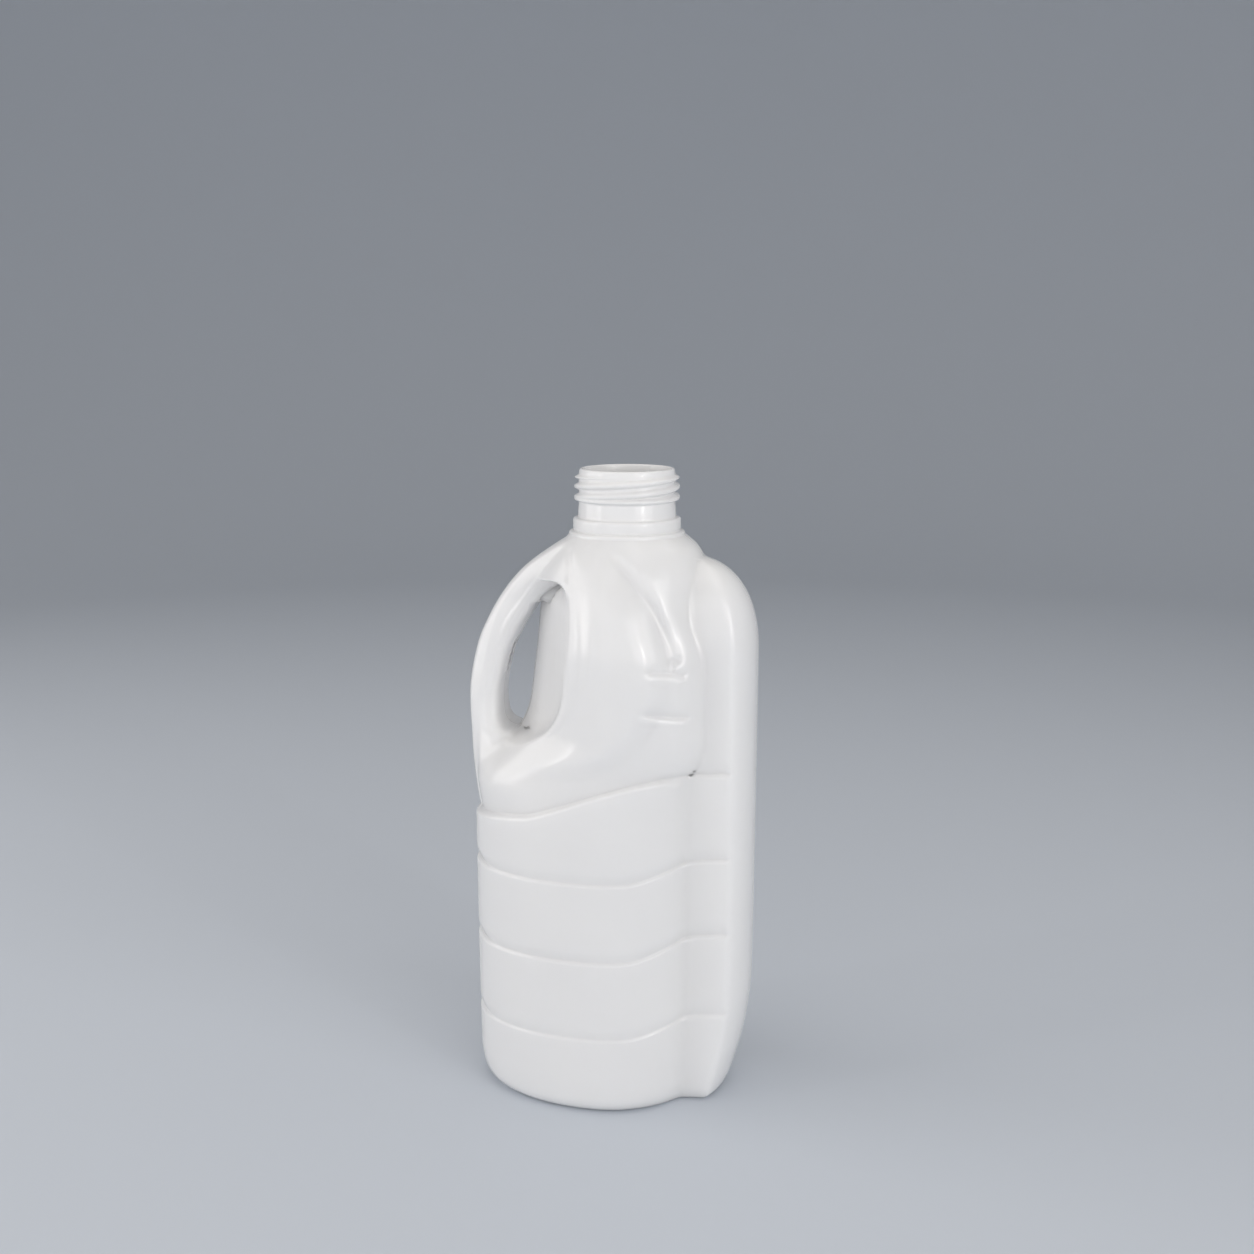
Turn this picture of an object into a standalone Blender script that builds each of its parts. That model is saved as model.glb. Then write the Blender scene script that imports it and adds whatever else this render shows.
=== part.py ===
# Plastic jug with a moulded handle: one blown hollow shell with a threaded, open neck.
# The mould parts on the plane Y = 0. The handle is at -X, the plain end at +X, up is +Z.
# Lengths below are millimetres; the mesh is written in metres.

import bpy
import numpy as np

MILLIMETRE = 0.001

# Overall size
HEIGHT = 285.0
BODY_DEPTH = 46.6
WALL = 1.15
CENTRE_X = 0.36
SHARP_ANGLE = 50.0

# Neck, turned about its own upright axis
NECK_X = 7.5
NECK_FOOT_Z = 256.0
COLLAR_RADIUS = 23.9
COLLAR_BOTTOM_Z = 258.0
COLLAR_TOP_Z = 263.4
COLLAR_EDGE = 1.0
FOOT_STEP_RADIUS = 25.2
BAND_RADIUS = 21.7
THREAD_ROOT_RADIUS = 21.3
THREAD_CREST = 2.0
THREAD_SPACING = 4.6
THREAD_BOTTOM_Z = 270.0
THREAD_TOP_Z = 282.4
THREAD_AT_HANDLE_SIDE_Z = 276.7
BEAD_Z = 271.9
BEAD_HALF_WIDTH = 1.4
THREAD_HALF_WIDTH = 1.5
THREAD_RUN_OUT = 1.6
THREAD_LEVELS = 14
RIM_RADIUS = 20.9
RIM_ROUNDING = 0.6
BORE_RADIUS = 19.5
BORE_BOTTOM_Z = 262.0

# Handle tube
HANDLE_OUTER_WIDTH = [(120.0, 6.0), (135.0, 6.6), (150.0, 7.2), (158.0, 7.6), (165.0, 7.8), (172.0, 8.1),
                      (256.0, 8.1)]
HANDLE_INNER_WIDTH = [(120.0, 8.1), (140.0, 9.0), (150.0, 12.0), (158.0, 17.0), (163.0, 17.0), (165.5, 13.1),
                      (166.2, 11.1), (167.2, 9.6), (168.5, 8.5), (170.0, 7.9), (172.0, 7.4), (178.0, 7.2),
                      (196.0, 7.6), (215.0, 7.8), (226.0, 8.6), (234.0, 9.4), (256.0, 9.4)]
HANDLE_DEPTH = [(120.0, 8.0), (130.0, 15.0), (140.0, 20.5), (150.0, 21.5), (160.0, 17.0), (170.0, 13.4),
                (181.0, 11.4), (200.0, 10.8), (224.0, 10.9), (232.0, 12.4), (240.0, 17.0), (246.0, 22.0),
                (252.0, 24.0)]
HANDLE_OUTER_DEPTH = [(120.0, 8.0), (130.0, 12.0), (150.0, 13.5), (165.0, 12.0), (181.0, 11.4),
                      (200.0, 10.8), (224.0, 10.9), (232.0, 12.0), (240.0, 14.5), (246.0, 17.5),
                      (252.0, 21.0)]
OUTER_TO_INNER = (-0.7, 0.5)
HANDLE_SECTION = [(-1.0, 0.0), (-0.97, 0.27), (-0.9, 0.47), (-0.78, 0.66), (-0.7, 0.74), (-0.4, 0.86),
                  (0.0, 0.95), (0.3, 1.0), (0.42, 0.995), (0.54, 0.93), (0.75, 0.73), (0.9, 0.49),
                  (0.97, 0.28), (1.0, 0.0)]
HANDLE_START_Z = 125.0
HANDLE_BLEND = 2.0
ROOT_BLEND = 5.0
ROOT_BLEND_RANGE = (136.0, 152.0, 160.0, 178.0)
HANDLE_LINE = [(-54.0, 120.0), (-56.0, 135.0), (-57.1, 150.0), (-57.7, 165.0), (-58.0, 181.0),
               (-54.4, 201.6), (-49.9, 212.2), (-43.6, 223.0), (-34.8, 233.5), (-20.6, 244.1),
               (-8.0, 251.6)]

# Finger hole, as its left and right edges on the parting plane, given as (z, x)
HOLE_BOTTOM_Z = 165.5
HOLE_TOP_Z = 224.0
HOLE_LEFT_EDGE = [(150.0, -46.0), (165.5, -45.6), (168.0, -49.0), (170.0, -50.0), (172.0, -50.5),
                  (181.6, -50.8), (196.0, -47.8), (205.4, -44.6), (212.5, -41.0), (219.6, -36.8),
                  (224.0, -34.6), (240.0, -26.0), (256.0, -15.0)]
HOLE_RIGHT_EDGE = [(150.0, -42.6), (165.5, -42.6), (170.0, -41.0), (175.0, -39.0), (182.0, -37.5),
                   (194.0, -35.9), (206.0, -34.4), (219.0, -33.1), (224.0, -32.4), (230.0, -27.8),
                   (235.0, -21.0), (240.0, -20.0), (256.0, -11.0)]

# Pocket that funnels from the front of the jug to the finger hole: its rim as (z, x), and its lower
# and upper ends as (x, z)
POCKET_RIM = [(150.0, -14.0), (165.0, -10.6), (197.0, -10.2), (206.0, -9.1), (214.0, -8.6), (224.0, -9.2),
              (229.0, -11.6), (234.0, -15.0), (240.0, -16.5), (256.0, -16.5)]
POCKET_BOTTOM = [(-60.0, 165.0), (-46.0, 165.5), (-40.6, 165.7), (-33.0, 167.0), (-27.6, 168.8),
                 (-21.0, 172.5), (-15.6, 178.5), (-12.2, 186.0), (-10.2, 195.0)]
POCKET_CEILING = [(-60.0, 228.5), (-30.0, 229.3), (-24.0, 231.8), (-20.0, 233.8), (-16.5, 234.8),
                  (-13.5, 234.3), (-11.5, 232.5), (-10.0, 229.5), (-9.0, 224.5)]
POCKET_END_SLOPE = 3.0
POCKET_TOP_DEPTH = 5.0
POCKET_TOP_Z = 243.0
POCKET_OVERRUN = 6.0
POCKET_BLEND = 1.5

# Main lobe: its ends and depth by height, given as (z, value)
MAIN_LEFT = [(0.0, -52.5), (3.0, -58.0), (8.0, -60.6), (16.0, -61.8), (60.0, -62.2), (130.0, -62.4),
             (142.0, -62.0), (150.0, -59.8), (157.0, -55.0), (163.0, -50.0), (170.0, -46.0),
             (180.0, -44.0), (206.0, -42.0), (224.0, -40.0), (232.0, -37.0), (240.0, -32.0),
             (250.0, -23.5), (256.0, -18.5)]
MAIN_RIGHT = [(0.0, 48.5), (10.0, 52.0), (110.0, 52.0), (153.0, 53.5), (163.0, 55.0), (170.0, 55.1),
              (195.0, 54.8), (206.0, 52.0), (212.5, 49.8), (221.0, 47.6), (231.0, 47.4), (240.0, 47.9),
              (247.0, 41.8), (251.3, 39.2), (254.0, 36.2), (256.0, 33.5)]
MAIN_MIDDLE = [(0.0, 0.0), (145.0, 0.0), (172.0, 7.5), (256.0, 7.5)]
MAIN_DEPTH = [(0.0, 1.0), (205.0, 0.99), (220.0, 0.935), (232.0, 0.85), (242.0, 0.75), (250.0, 0.643),
              (256.0, 0.558)]
MAIN_SQUARENESS = [(0.0, 2.2), (130.0, 2.3), (145.0, 2.2), (160.0, 1.8), (172.0, 1.6), (225.0, 1.6),
                   (240.0, 1.8), (250.0, 2.0), (256.0, 2.0)]
BOTTOM_CORNER = 6.5

# End column, the upright lobe at +X
COLUMN_X = 36.0
COLUMN_DEPTH = 24.8
COLUMN_TAPER = 0.16
COLUMN_END = [(0.0, 50.8), (1.0, 53.0), (3.0, 55.2), (15.6, 59.6), (27.9, 62.7), (39.9, 64.6), (52.0, 65.7),
              (87.0, 66.2), (132.0, 66.5), (198.0, 66.8)]
COLUMN_END_BULGE = 30.0
COLUMN_SHOULDER_Z = 205.0
COLUMN_SHOULDER_RISE = 42.0
COLUMN_SQUARENESS = 2.2
COLUMN_OVERLAP = 12.0
COLUMN_BLEND = 1.6
COLUMN_EDGE_BLEND = 1.5
COLUMN_END_GROOVE_SHARE = 0.4
COLUMN_CORNER_SHARE = 0.6

# Grooves round the body, each line given as (x, z)
GROOVE_ONE = [(-66.0, 128.0), (-55.0, 130.5), (-44.0, 132.8), (-28.0, 135.5), (-14.0, 140.5),
              (5.0, 147.6), (22.0, 152.0), (39.0, 153.5), (66.0, 154.0)]
GROOVE_TWO = [(-66.0, 107.0), (15.0, 107.3), (47.0, 114.5), (66.0, 115.0)]
GROOVE_THREE = [(-66.0, 71.0), (15.0, 71.3), (47.0, 79.5), (66.0, 80.0)]
GROOVE_FOUR = [(-66.0, 35.0), (15.0, 35.3), (47.0, 41.6), (66.0, 42.0)]
GROOVES = [(GROOVE_FOUR, 35.0, 1.6), (GROOVE_THREE, 71.0, 2.2), (GROOVE_TWO, 107.0, 2.2),
           (GROOVE_ONE, 143.0, 2.6)]
GROOVE_UPPER_FLANK = 10.0
GROOVE_LOWER_FLANK = 2.8
GROOVE_END = (56.0, 60.0)

# Hollows that the upper body is pressed in by
TUCK_HEIGHT = 22.0
TUCK_DEPTH = 3.2
TUCK_CURVE = 1.5
BORDER_LINE = [(-60.0, 152.0), (-46.0, 154.5), (-34.0, 158.5), (-11.0, 162.0), (4.0, 166.0), (15.6, 176.0),
               (21.5, 185.0), (24.4, 191.0), (24.8, 199.5), (24.8, 206.0)]
BORDER_WIDTH = 11.0
BORDER_START = (-46.0, -26.0)
GRIP_TOP = (198.0, 211.0)
VALLEY_LINE = [(-8.0, 252.0), (3.0, 250.5), (9.0, 246.5), (15.0, 241.0), (20.5, 234.5), (26.0, 227.5),
               (30.0, 220.0), (33.0, 213.0), (35.0, 206.0)]
VALLEY_DEPTH = 3.0
VALLEY_UPPER_FLANK = 13.0
VALLEY_LOWER_FLANK = 4.0
VALLEY_START = (0.0, 0.45)
HOLLOW_BLEND = 0.8

# Base: a flat ring to stand on and a pushed-up middle
RING_SCALE = 0.87
STEP_SCALE = 0.8
PUSH_UP = 3.0

# Columns of the shell between its feature lines, on one side of the parting plane
RIM_LINE = [(0.0, -20.0), (150.0, -16.0), (165.5, -10.8), (197.0, -10.2), (214.0, -8.6), (224.0, -9.2),
            (229.0, -11.6), (234.0, -14.8), (240.0, -15.5), (256.0, -8.0)]
GRIP_EDGE_LINE = [(0.0, 5.0), (100.0, 8.0), (150.0, 12.0), (170.0, 15.0), (185.0, 20.0), (199.0, 23.0),
                  (208.0, 24.0), (213.0, 23.0), (220.0, 20.0), (227.0, 16.0), (234.0, 11.0),
                  (240.0, 5.5), (246.0, 0.5), (256.0, -1.0)]
VALLEY_COLUMN_LINE = [(0.0, 24.0), (150.0, 28.0), (190.0, 33.0), (206.0, 35.0), (213.0, 33.0),
                      (220.0, 30.0), (227.5, 26.0), (234.5, 20.5), (241.0, 15.0), (246.5, 11.0),
                      (256.0, 8.0)]
FACET_START_LINE = [(0.0, 35.5), (30.0, 38.0), (157.0, 38.5), (206.0, 38.5), (221.0, 37.0), (235.0, 36.8),
                    (247.0, 33.0), (256.0, 27.0)]
CREASE_LINE = [(0.0, 40.5), (60.0, 43.5), (153.0, 44.5), (178.0, 45.4), (206.0, 44.8), (212.5, 43.5),
               (221.0, 41.0), (240.0, 40.5), (247.0, 38.0), (256.0, 30.0)]
EDGE_LINE = [(0.0, 47.5), (8.0, 51.0), (19.0, 53.8), (40.0, 55.5), (78.0, 56.5), (120.0, 57.5),
             (157.0, 58.5), (222.0, 57.5), (240.0, 48.0), (248.0, 41.5), (256.0, 32.0)]
FEATURE_LINES = (HOLE_LEFT_EDGE, HOLE_RIGHT_EDGE, RIM_LINE, GRIP_EDGE_LINE, VALLEY_COLUMN_LINE,
                 FACET_START_LINE, CREASE_LINE, EDGE_LINE)
COLUMN_COUNTS = (6, 2, 2, 3, 2, 1, 2, 2, 3)
OPEN_TUBE_LEVELS = (158.0, 168.0, 222.0, 228.0)

# Levels of the shell from the standing ring to the neck's foot
LOW_LEVELS = (0.0, 0.9, 3.0, 6.5, 14.0, 24.0)
GROOVE_OFFSETS = (-2.8, 0.0, 2.8, 7.0)
BAND_LEVELS = (53.0, 89.0, 124.0)
UPPER_LEVELS = (157.0, 161.5, 165.5, 168.0, 172.0, 177.0, 183.0, 190.0, 197.0, 204.0, 210.0, 215.5,
                220.0, 224.0, 226.5, 230.0, 234.5, 239.5, 244.0, 248.0, 251.5, 254.0, 256.0)
LEVEL_START = 14.0
LEVEL_JOIN = 165.5
CIRCLE_START_Z = 238.0
CIRCLE_END_Z = 253.0
ABSENT = -20.0
FAR = 1e9
SEARCH_REACH = 70.0
SEARCH_STEPS = 1401
HALVINGS = 30

JUG_COLOUR = (0.74, 0.74, 0.765, 1.0)


def follow(points, where):
    """A smooth curve through the points that never overshoots them."""
    places, values = np.array(points, dtype=float).T
    where = np.asarray(where, dtype=float)
    widths = np.diff(places)
    slopes = np.diff(values) / widths
    tangents = np.zeros(len(places))
    products = slopes[:-1] * slopes[1:]
    sums = np.where(products > 0.0, slopes[:-1] + slopes[1:], 1.0)
    tangents[1:-1] = np.where(products > 0.0, 2.0 * products / sums, 0.0)
    tangents[0] = slopes[0]
    tangents[-1] = slopes[-1]
    index = np.clip(np.searchsorted(places, where) - 1, 0, len(widths) - 1)
    width = widths[index]
    part = np.clip((where - places[index]) / width, 0.0, 1.0)
    rise = values[index + 1] - values[index]
    start = tangents[index] * width
    end = tangents[index + 1] * width
    return (values[index] + part * start + part ** 2 * (3.0 * rise - 2.0 * start - end)
            + part ** 3 * (start + end - 2.0 * rise))


def ramp(value, start, end):
    part = np.clip((value - start) / (end - start), 0.0, 1.0)
    return part * part * (3.0 - 2.0 * part)


def soft_larger(first, second, radius):
    overlap = np.maximum(radius - np.abs(first - second), 0.0)
    return np.maximum(first, second) + overlap ** 2 / (4.0 * radius)


def soft_smaller(first, second, radius):
    return -soft_larger(-first, -second, radius)


def signed_power(value, power):
    return np.sign(value) * np.abs(value) ** power


def line_distance(points, x, z, samples=60):
    """Distance to a smooth line, the side it lies on (+1 above) and how far along it is."""
    order = np.linspace(0.0, len(points) - 1.0, samples)
    numbered = range(len(points))
    line_x = follow([(i, points[i][0]) for i in numbered], order)
    line_z = follow([(i, points[i][1]) for i in numbered], order)
    best = np.full(np.shape(x), FAR)
    side = np.zeros(np.shape(x))
    along = np.zeros(np.shape(x))
    for i in range(samples - 1):
        step_x = line_x[i + 1] - line_x[i]
        step_z = line_z[i + 1] - line_z[i]
        part = ((x - line_x[i]) * step_x + (z - line_z[i]) * step_z) / (step_x ** 2 + step_z ** 2)
        part = np.clip(part, 0.0, 1.0)
        gap_x = x - line_x[i] - part * step_x
        gap_z = z - line_z[i] - part * step_z
        distance = np.hypot(gap_x, gap_z)
        nearer = distance < best
        best = np.where(nearer, distance, best)
        side = np.where(nearer, np.sign(step_x * gap_z - step_z * gap_x), side)
        along = np.where(nearer, (i + part) / (samples - 1), along)
    return best, side, along


def flank(distance, width):
    return np.clip(1.0 - distance / width, 0.0, 1.0) ** 2


def groove_relief(x, z):
    """How far the grooves press in the side of the jug."""
    pressed = np.zeros(np.shape(x))
    for line, _, depth in GROOVES:
        above = z - follow(line, x)
        groove = np.where(above > 0.0, flank(above, GROOVE_UPPER_FLANK),
                          flank(-above, GROOVE_LOWER_FLANK))
        pressed = np.maximum(pressed, depth * groove)
    return pressed * (1.0 - ramp(x, *GROOVE_END))


def grip_relief(x, z):
    """How far the tuck over the top groove, the grip and the valley press in the main lobe."""
    above = z - follow(GROOVE_ONE, x)
    lower = flank(-above, GROOVE_LOWER_FLANK)
    tuck = np.clip(1.0 - above / TUCK_HEIGHT, 0.0, 1.0) ** TUCK_CURVE
    distance, side, _ = line_distance(BORDER_LINE, x, z, 30)
    grip = ramp(-side * distance, -1.0, BORDER_WIDTH)
    tuck = tuck + (grip - tuck) * ramp(x, *BORDER_START)
    pressed = TUCK_DEPTH * np.where(above > 0.0, tuck, lower) * (1.0 - ramp(z, *GRIP_TOP))
    distance, side, along = line_distance(VALLEY_LINE, x, z, 30)
    valley = np.where(side > 0.0, flank(distance, VALLEY_LOWER_FLANK),
                      flank(distance, VALLEY_UPPER_FLANK))
    return soft_larger(pressed, VALLEY_DEPTH * valley * ramp(along, *VALLEY_START), HOLLOW_BLEND)


def main_depth(x, z, corner, pressed):
    depth = BODY_DEPTH * follow(MAIN_DEPTH, z) - corner - pressed
    middle = follow(MAIN_MIDDLE, z)
    left = middle - follow(MAIN_LEFT, z) - pressed
    right = follow(MAIN_RIGHT, z) - middle - pressed
    across = np.where(x < middle, (middle - x) / left, (x - middle) / right)
    power = np.where(x < middle, follow(MAIN_SQUARENESS, z), 2.0)
    return signed_power(1.0 - np.abs(across) ** power, 1.0 / power) * depth


def half_depth_squared(x, z):
    """The square of the jug's half depth beside its parting plane; less than zero outside it."""
    grooves = groove_relief(x, z)
    corner = BOTTOM_CORNER - np.sqrt(np.maximum(
        BOTTOM_CORNER ** 2 - np.maximum(BOTTOM_CORNER - z, 0.0) ** 2, 0.0))
    main = main_depth(x, z, corner, np.maximum(grooves, grip_relief(x, z)))

    hole_edge = follow(HOLE_RIGHT_EDGE, z)
    rim = follow(POCKET_RIM, z)
    funnel = (x - hole_edge) / (rim - hole_edge) * main_depth(rim, z, 0.0, 0.0)
    funnel = funnel + POCKET_END_SLOPE * np.maximum(follow(POCKET_BOTTOM, x) - z, 0.0)
    funnel = funnel + POCKET_END_SLOPE * np.maximum(z - follow(POCKET_CEILING, x), 0.0)
    least = POCKET_TOP_DEPTH * ramp(z, HOLE_TOP_Z + 0.5, HOLE_TOP_Z + 2.5) - 1.0
    funnel = np.where(z > HOLE_TOP_Z, soft_larger(funnel, least, 1.0), funnel)
    in_pocket = (x < rim + POCKET_OVERRUN) & (z < POCKET_TOP_Z)
    main = np.where(in_pocket, soft_smaller(main, funnel, POCKET_BLEND), main)

    rise = np.maximum(z - COLUMN_SHOULDER_Z, 0.0) / COLUMN_SHOULDER_RISE
    reach = follow(COLUMN_END, z) - COLUMN_X - COLUMN_END_GROOVE_SHARE * grooves
    out = np.maximum(x - COLUMN_X, 0.0) / reach
    power = COLUMN_SQUARENESS
    dome = signed_power(1.0 - rise ** power, 1.0 / power)
    end_face = signed_power(1.0 - out ** power - rise ** power, 1.0 / power) * COLUMN_END_BULGE
    facet = (COLUMN_DEPTH - COLUMN_TAPER * (x - COLUMN_X)) * dome - grooves
    column = soft_smaller(end_face, facet - COLUMN_CORNER_SHARE * corner, COLUMN_EDGE_BLEND)
    column = np.where(x > COLUMN_X - COLUMN_OVERLAP, column, ABSENT)

    distance, side, _ = line_distance(HANDLE_LINE, x, z)
    width = np.where(side < 0.0, follow(HANDLE_INNER_WIDTH, z), follow(HANDLE_OUTER_WIDTH, z))
    off = -side * distance / width
    beyond = np.maximum(np.abs(off) - 1.0, 0.0) ** 0.5
    handle = np.where(np.abs(off) < 1.0, follow(HANDLE_SECTION, np.clip(off, -1.0, 1.0)), -beyond)
    outer_depth = follow(HANDLE_OUTER_DEPTH, z)
    tube_depth = outer_depth + (follow(HANDLE_DEPTH, z) - outer_depth) * ramp(off, *OUTER_TO_INNER)
    handle = np.where(z > HANDLE_START_Z, handle * tube_depth, ABSENT)

    depth = soft_larger(main, column, COLUMN_BLEND)
    start, full, fade, end = ROOT_BLEND_RANGE
    blend = HANDLE_BLEND + ROOT_BLEND * ramp(z, start, full) * (1.0 - ramp(z, fade, end))
    depth = soft_larger(depth, handle, blend)
    return np.sign(depth) * depth ** 2


def level_height(level, x):
    """Where a nominal level runs, so that the levels beside a groove follow it."""
    places = [np.zeros(np.shape(x)), np.full(np.shape(x), LEVEL_START)]
    levels = [0.0, LEVEL_START]
    for line, nominal, _ in GROOVES:
        height = follow(line, x)
        for offset in GROOVE_OFFSETS:
            levels.append(nominal + offset)
            places.append(height + offset)
    levels += [LEVEL_JOIN, HEIGHT]
    places += [np.full(np.shape(x), LEVEL_JOIN), np.full(np.shape(x), HEIGHT)]
    after = int(np.clip(np.searchsorted(levels, level), 1, len(levels) - 1))
    part = (level - levels[after - 1]) / (levels[after] - levels[after - 1])
    return places[after - 1] * (1.0 - part) + places[after] * part


def column_places(level, left, right):
    """The X of each column at one level, spaced between the feature lines."""
    lines = [float(follow(line, level)) for line in FEATURE_LINES]
    stops = [left] + lines + [right]
    places = [left]
    for i, count in enumerate(COLUMN_COUNTS):
        steps = np.arange(1, count + 1) / count
        if i == 0:
            inner = 0.5 - 0.5 * np.cos(np.pi * steps)
            outer = 1.0 - np.cos(0.5 * np.pi * steps)
            begin, full, fade, end = OPEN_TUBE_LEVELS
            tube = float(ramp(level, begin, full) * (1.0 - ramp(level, fade, end)))
            steps = inner * tube + outer * (1.0 - tube)
        elif i == len(COLUMN_COUNTS) - 1:
            steps = np.sin(0.5 * np.pi * steps)
        places += list(stops[i] + (stops[i + 1] - stops[i]) * steps)
    places = np.array(places)
    angles = np.linspace(np.pi, 0.0, len(places))
    round_places = 0.5 * (left + right) + 0.5 * (right - left) * np.cos(angles)
    share = float(ramp(level, CIRCLE_START_Z, CIRCLE_END_Z))
    return places * (1.0 - share) + round_places * share


def body_level(level):
    """One half loop of the body, from the handle end round the front to the plain end."""
    search = np.linspace(-SEARCH_REACH, SEARCH_REACH, SEARCH_STEPS)
    inside = np.nonzero(half_depth_squared(search, level_height(level, search)) > 0.0)[0]
    ends = []
    for i, j in ((inside[0], inside[0] - 1), (inside[-1], inside[-1] + 1)):
        near = search[i]
        far = search[j]
        for _ in range(HALVINGS):
            middle = 0.5 * (near + far)
            if half_depth_squared(middle, level_height(level, middle)) > 0.0:
                near = middle
            else:
                far = middle
        ends.append(0.5 * (near + far))
    x = column_places(level, *ends)
    z = level_height(level, x)
    y = np.sqrt(np.maximum(half_depth_squared(x, z), 0.0))
    y[0] = 0.0
    y[-1] = 0.0
    if HOLE_BOTTOM_Z <= level <= HOLE_TOP_Z:
        start = COLUMN_COUNTS[0]
        y[start:start + COLUMN_COUNTS[1] + 1] = 0.0
    return x, -y, z


def thread_height(angle, z):
    """How far the double thread and the bead under it stand out of the neck."""
    turn = THREAD_AT_HANDLE_SIDE_Z + 2.0 * THREAD_SPACING * (angle - np.pi) / (2.0 * np.pi)
    offset = (z - turn) / THREAD_SPACING
    offset = (offset - np.round(offset)) * THREAD_SPACING
    ridge = np.clip(1.0 - np.abs(offset) / THREAD_HALF_WIDTH, 0.0, 1.0)
    ridge = ridge * ramp(z, THREAD_BOTTOM_Z, THREAD_BOTTOM_Z + THREAD_RUN_OUT)
    ridge = ridge * (1.0 - ramp(z, THREAD_TOP_Z - THREAD_RUN_OUT, THREAD_TOP_Z))
    bead = np.clip(1.0 - np.abs(z - BEAD_Z) / BEAD_HALF_WIDTH, 0.0, 1.0)
    return THREAD_CREST * np.maximum(ridge, bead)


def neck_levels():
    """Heights and plain radii up the outside of the neck."""
    levels = [(COLLAR_BOTTOM_Z - RIM_ROUNDING, FOOT_STEP_RADIUS),
              (COLLAR_BOTTOM_Z, COLLAR_RADIUS - 0.5 * COLLAR_EDGE),
              (COLLAR_BOTTOM_Z + RIM_ROUNDING, COLLAR_RADIUS),
              (COLLAR_TOP_Z - COLLAR_EDGE, COLLAR_RADIUS),
              (COLLAR_TOP_Z, COLLAR_RADIUS - COLLAR_EDGE),
              (COLLAR_TOP_Z + RIM_ROUNDING, BAND_RADIUS)]
    for z in np.linspace(THREAD_BOTTOM_Z, THREAD_TOP_Z, THREAD_LEVELS):
        levels.append((float(z), THREAD_ROOT_RADIUS))
    levels += [(HEIGHT - RIM_ROUNDING, RIM_RADIUS), (HEIGHT, RIM_RADIUS - RIM_ROUNDING)]
    return levels


def shell_surface():
    """The outer skin as points, faces and the loops of points at every level."""
    levels = list(LOW_LEVELS)
    for _, nominal, _ in GROOVES:
        levels += [nominal + offset for offset in GROOVE_OFFSETS]
    levels = sorted(levels + list(BAND_LEVELS) + list(UPPER_LEVELS))
    points = []
    loops = []
    kinds = []

    def add_loop(x, y, z, kind):
        first = len(points)
        points.extend(zip(x, y, z))
        loops.append(list(range(first, len(points))))
        kinds.append(kind)

    def both_sides(x, y, z):
        return (np.concatenate([x, x[-2:0:-1]]), np.concatenate([y, -y[-2:0:-1]]),
                np.concatenate([z, z[-2:0:-1]]))

    standing = both_sides(*body_level(0.0))
    for scale, height in ((STEP_SCALE, PUSH_UP), (RING_SCALE, 0.0)):
        add_loop(standing[0] * scale, standing[1] * scale, standing[2] + height, 'base')
    for level in levels:
        add_loop(*both_sides(*body_level(level)), ('body', level))
    count = len(loops[0])
    angles = np.pi + 2.0 * np.pi * np.arange(count) / count
    for z, radius in neck_levels():
        reach = radius + thread_height(angles, z)
        add_loop(NECK_X + reach * np.cos(angles), reach * np.sin(angles), np.full(count, z), 'neck')
    return np.array(points), loops, kinds


def hole_cells(kind, count):
    """Which cells of the loop above a level belong to the open finger hole."""
    if kind[0] != 'body' or not HOLE_BOTTOM_Z <= kind[1] < HOLE_TOP_Z:
        return set()
    start = COLUMN_COUNTS[0]
    front = set(range(start, start + COLUMN_COUNTS[1]))
    back = {count - 1 - i for i in front}
    return front | back


def skin_faces(loops, kinds):
    faces = []
    floor = loops[0]
    count = len(floor)
    half = count // 2
    for i in range(half):
        quad = [floor[i], floor[(count - i) % count], floor[count - i - 1], floor[i + 1]]
        faces.append(list(dict.fromkeys(quad)))
    for lower, upper, kind in zip(loops[:-1], loops[1:], kinds[:-1]):
        skipped = hole_cells(kind, count)
        for i in range(count):
            if i in skipped:
                continue
            j = (i + 1) % count
            faces.append([lower[i], lower[j], upper[j], upper[i]])
    return faces


def weld_pairs(loops, kinds):
    """Points of the back that the front already has, along the edge of the finger hole."""
    pairs = {}
    start = COLUMN_COUNTS[0]
    stop = start + COLUMN_COUNTS[1]
    for loop, kind in zip(loops, kinds):
        if kind[0] == 'body' and HOLE_BOTTOM_Z <= kind[1] <= HOLE_TOP_Z:
            for i in range(start, stop + 1):
                pairs[loop[len(loop) - i]] = loop[i]
    return pairs


def vertex_normals(points, faces):
    normals = np.zeros_like(points)
    for face in faces:
        corners = points[face]
        across = np.cross(corners[2] - corners[0], corners[-1] - corners[1])
        for vertex in face:
            normals[vertex] += across
    return normals / np.maximum(np.linalg.norm(normals, axis=1), 1e-9)[:, None]


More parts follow.
